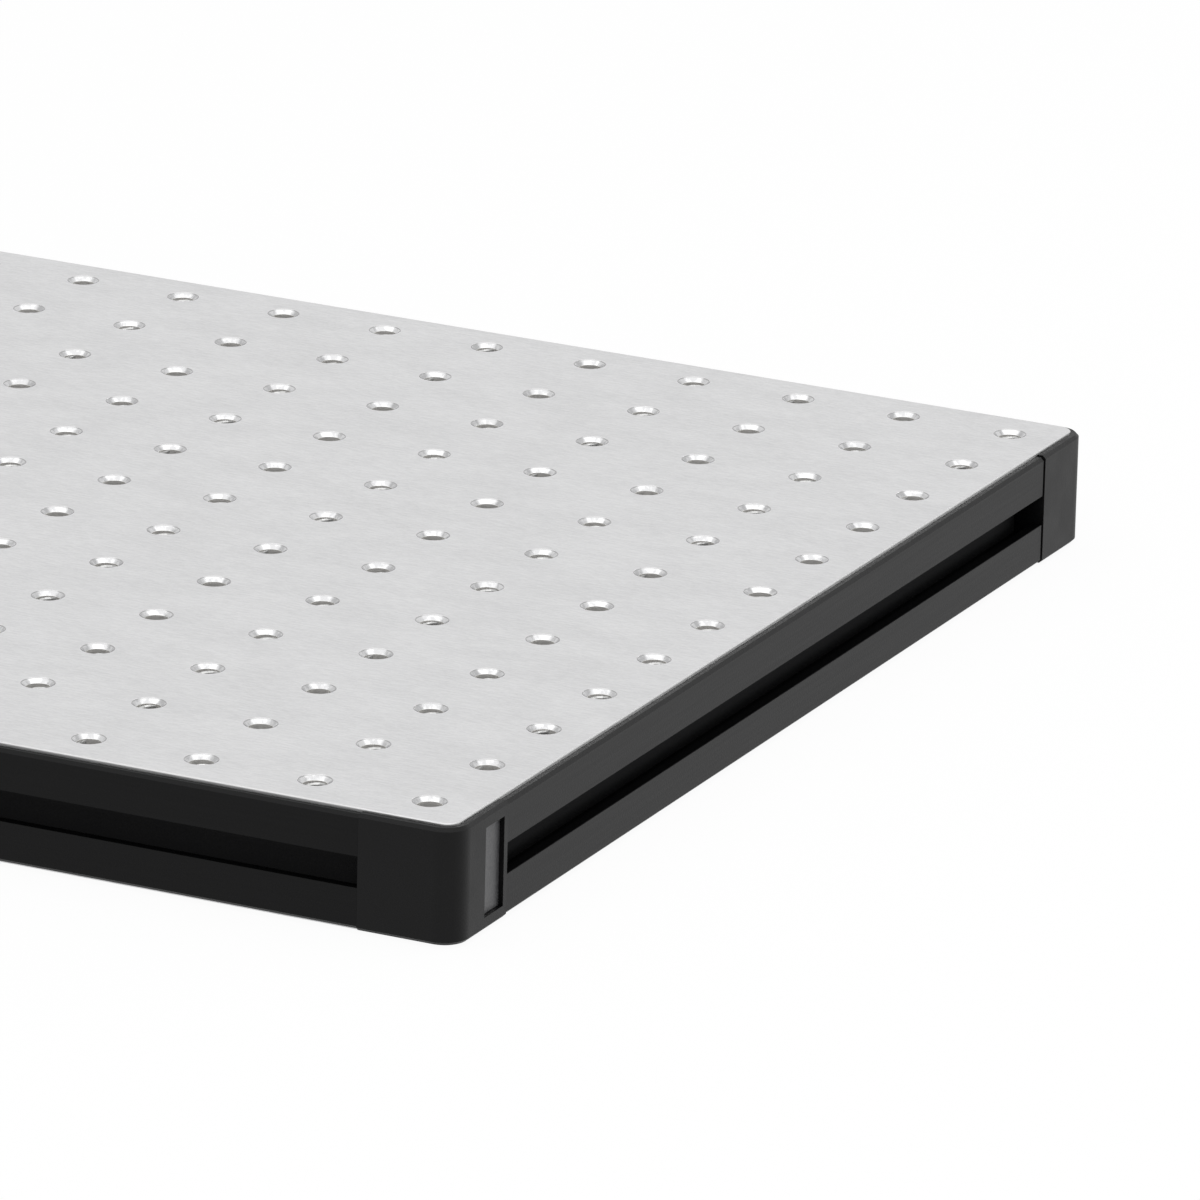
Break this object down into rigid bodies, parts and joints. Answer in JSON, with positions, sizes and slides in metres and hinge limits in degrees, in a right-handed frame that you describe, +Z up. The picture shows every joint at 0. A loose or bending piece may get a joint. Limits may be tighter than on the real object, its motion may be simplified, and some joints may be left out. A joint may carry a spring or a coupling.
{
  "type": "optical breadboard",
  "caption": "Flat optical breadboard: aluminium skins on a honeycomb core, a grid of tapped holes on top, black T-slot rails on the sides and rounded corner pieces.",
  "frame": {"origin": "middle of the underside", "axes": "+X along the long side, +Y along the short side away from the picture's front side, +Z up out of the hole grid"},
  "size_m": [0.4572, 0.3048, 0.0254],
  "materials": {
    "skin": "fine brushed, matt",
    "core": "bare foil",
    "rail": "black anodised, satin",
    "corner": "black, fine matt",
    "label": "bare grey, satin"
  },
  "bodies": {
    "root": {"top_skin": "skin", "bottom_skin": "skin", "honeycomb_core": "core", "rail_front": "rail", "rail_right": "rail", "rail_back": "rail", "rail_left": "rail", "corner_front_left": "corner", "corner_front_right": "corner", "corner_back_right": "corner", "corner_back_left": "corner", "label_plate": "label"}
  },
  "joints": []
}
